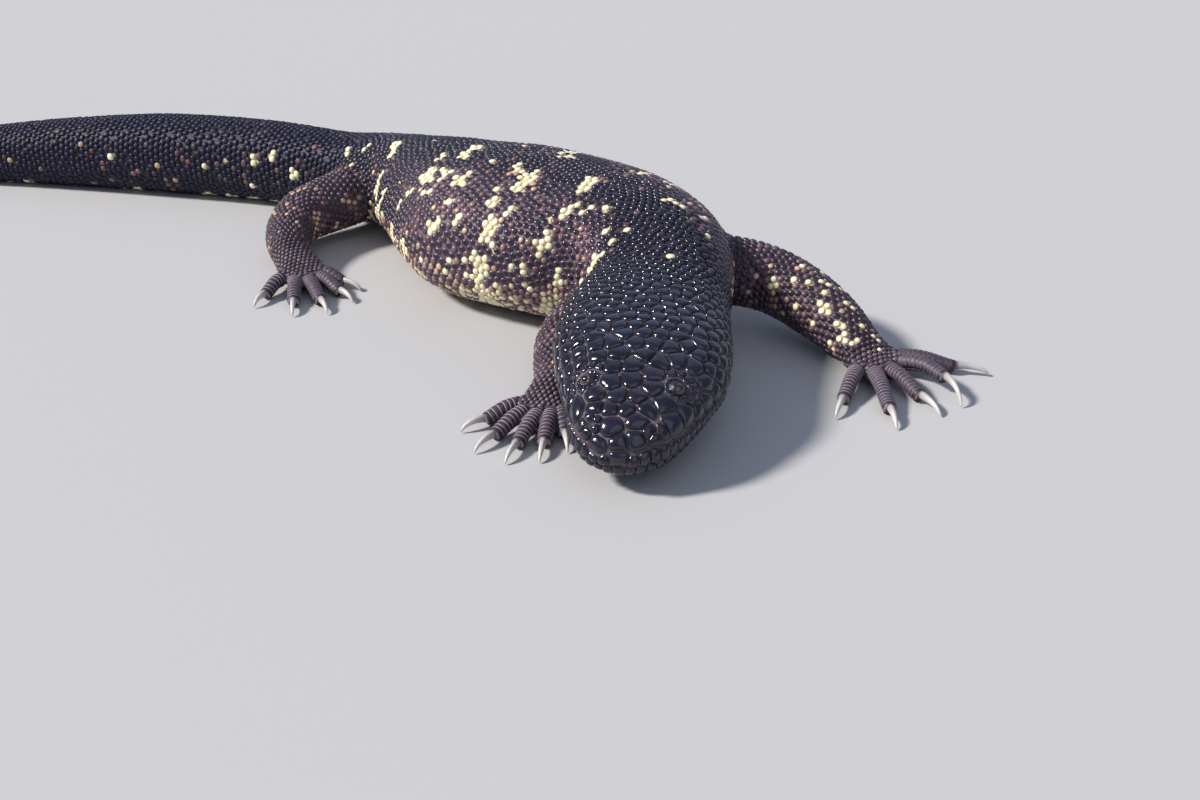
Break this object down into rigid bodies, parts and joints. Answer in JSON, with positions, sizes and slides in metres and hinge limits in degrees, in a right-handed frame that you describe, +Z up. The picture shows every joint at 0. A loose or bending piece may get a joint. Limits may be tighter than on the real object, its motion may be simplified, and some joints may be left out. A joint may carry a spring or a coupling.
{
  "type": "mexican beaded lizard",
  "caption": "Still, life-size beaded lizard lying curved on its belly, head turned forward, tail trailing behind and claws spread.",
  "frame": {"origin": "middle of the box round the animal, on the floor that it lies on", "axes": "+Z up, +X along the animal's greatest length, from the tail's tip towards the left hand, -Y the way the snout points"},
  "size_m": [0.568, 0.3852, 0.061],
  "materials": {
    "head_scales": "glossy plates, purple-black with thin mauve seams",
    "body_beads": "satin round beads, purple-black and reddish brown with cream blotches",
    "tail_scales": "satin ringed scales, blue-black with few cream spots",
    "toe_scales": "matt ringed scales, purple-grey",
    "claw": "smooth horn, pale grey-cream",
    "eye": "wet, nearly black"
  },
  "bodies": {
    "root": {"head": "head_scales", "lower_jaw": "head_scales", "eye_left": "eye", "eye_right": "eye", "neck": "body_beads", "trunk_front": "body_beads", "trunk_rear": "body_beads", "tail_base": "tail_scales", "tail_middle": "tail_scales", "tail_tip": "tail_scales", "upper_arm_left": "body_beads", "forearm_left": "body_beads", "thigh_left": "body_beads", "shank_left": "body_beads", "hand_left": "toe_scales", "foot_left": "toe_scales", "upper_arm_right": "body_beads", "forearm_right": "body_beads", "thigh_right": "body_beads", "shank_right": "body_beads", "hand_right": "toe_scales", "foot_right": "toe_scales", "claw_hand_left_1": "claw", "claw_hand_left_2": "claw", "claw_hand_left_3": "claw", "claw_hand_left_4": "claw", "claw_hand_left_5": "claw", "claw_hand_right_1": "claw", "claw_hand_right_2": "claw", "claw_hand_right_3": "claw", "claw_hand_right_4": "claw", "claw_hand_right_5": "claw", "claw_foot_left_1": "claw", "claw_foot_left_2": "claw", "claw_foot_left_3": "claw", "claw_foot_left_4": "claw", "claw_foot_left_5": "claw", "claw_foot_right_1": "claw", "claw_foot_right_2": "claw", "claw_foot_right_3": "claw", "claw_foot_right_4": "claw", "claw_foot_right_5": "claw"}
  },
  "joints": []
}
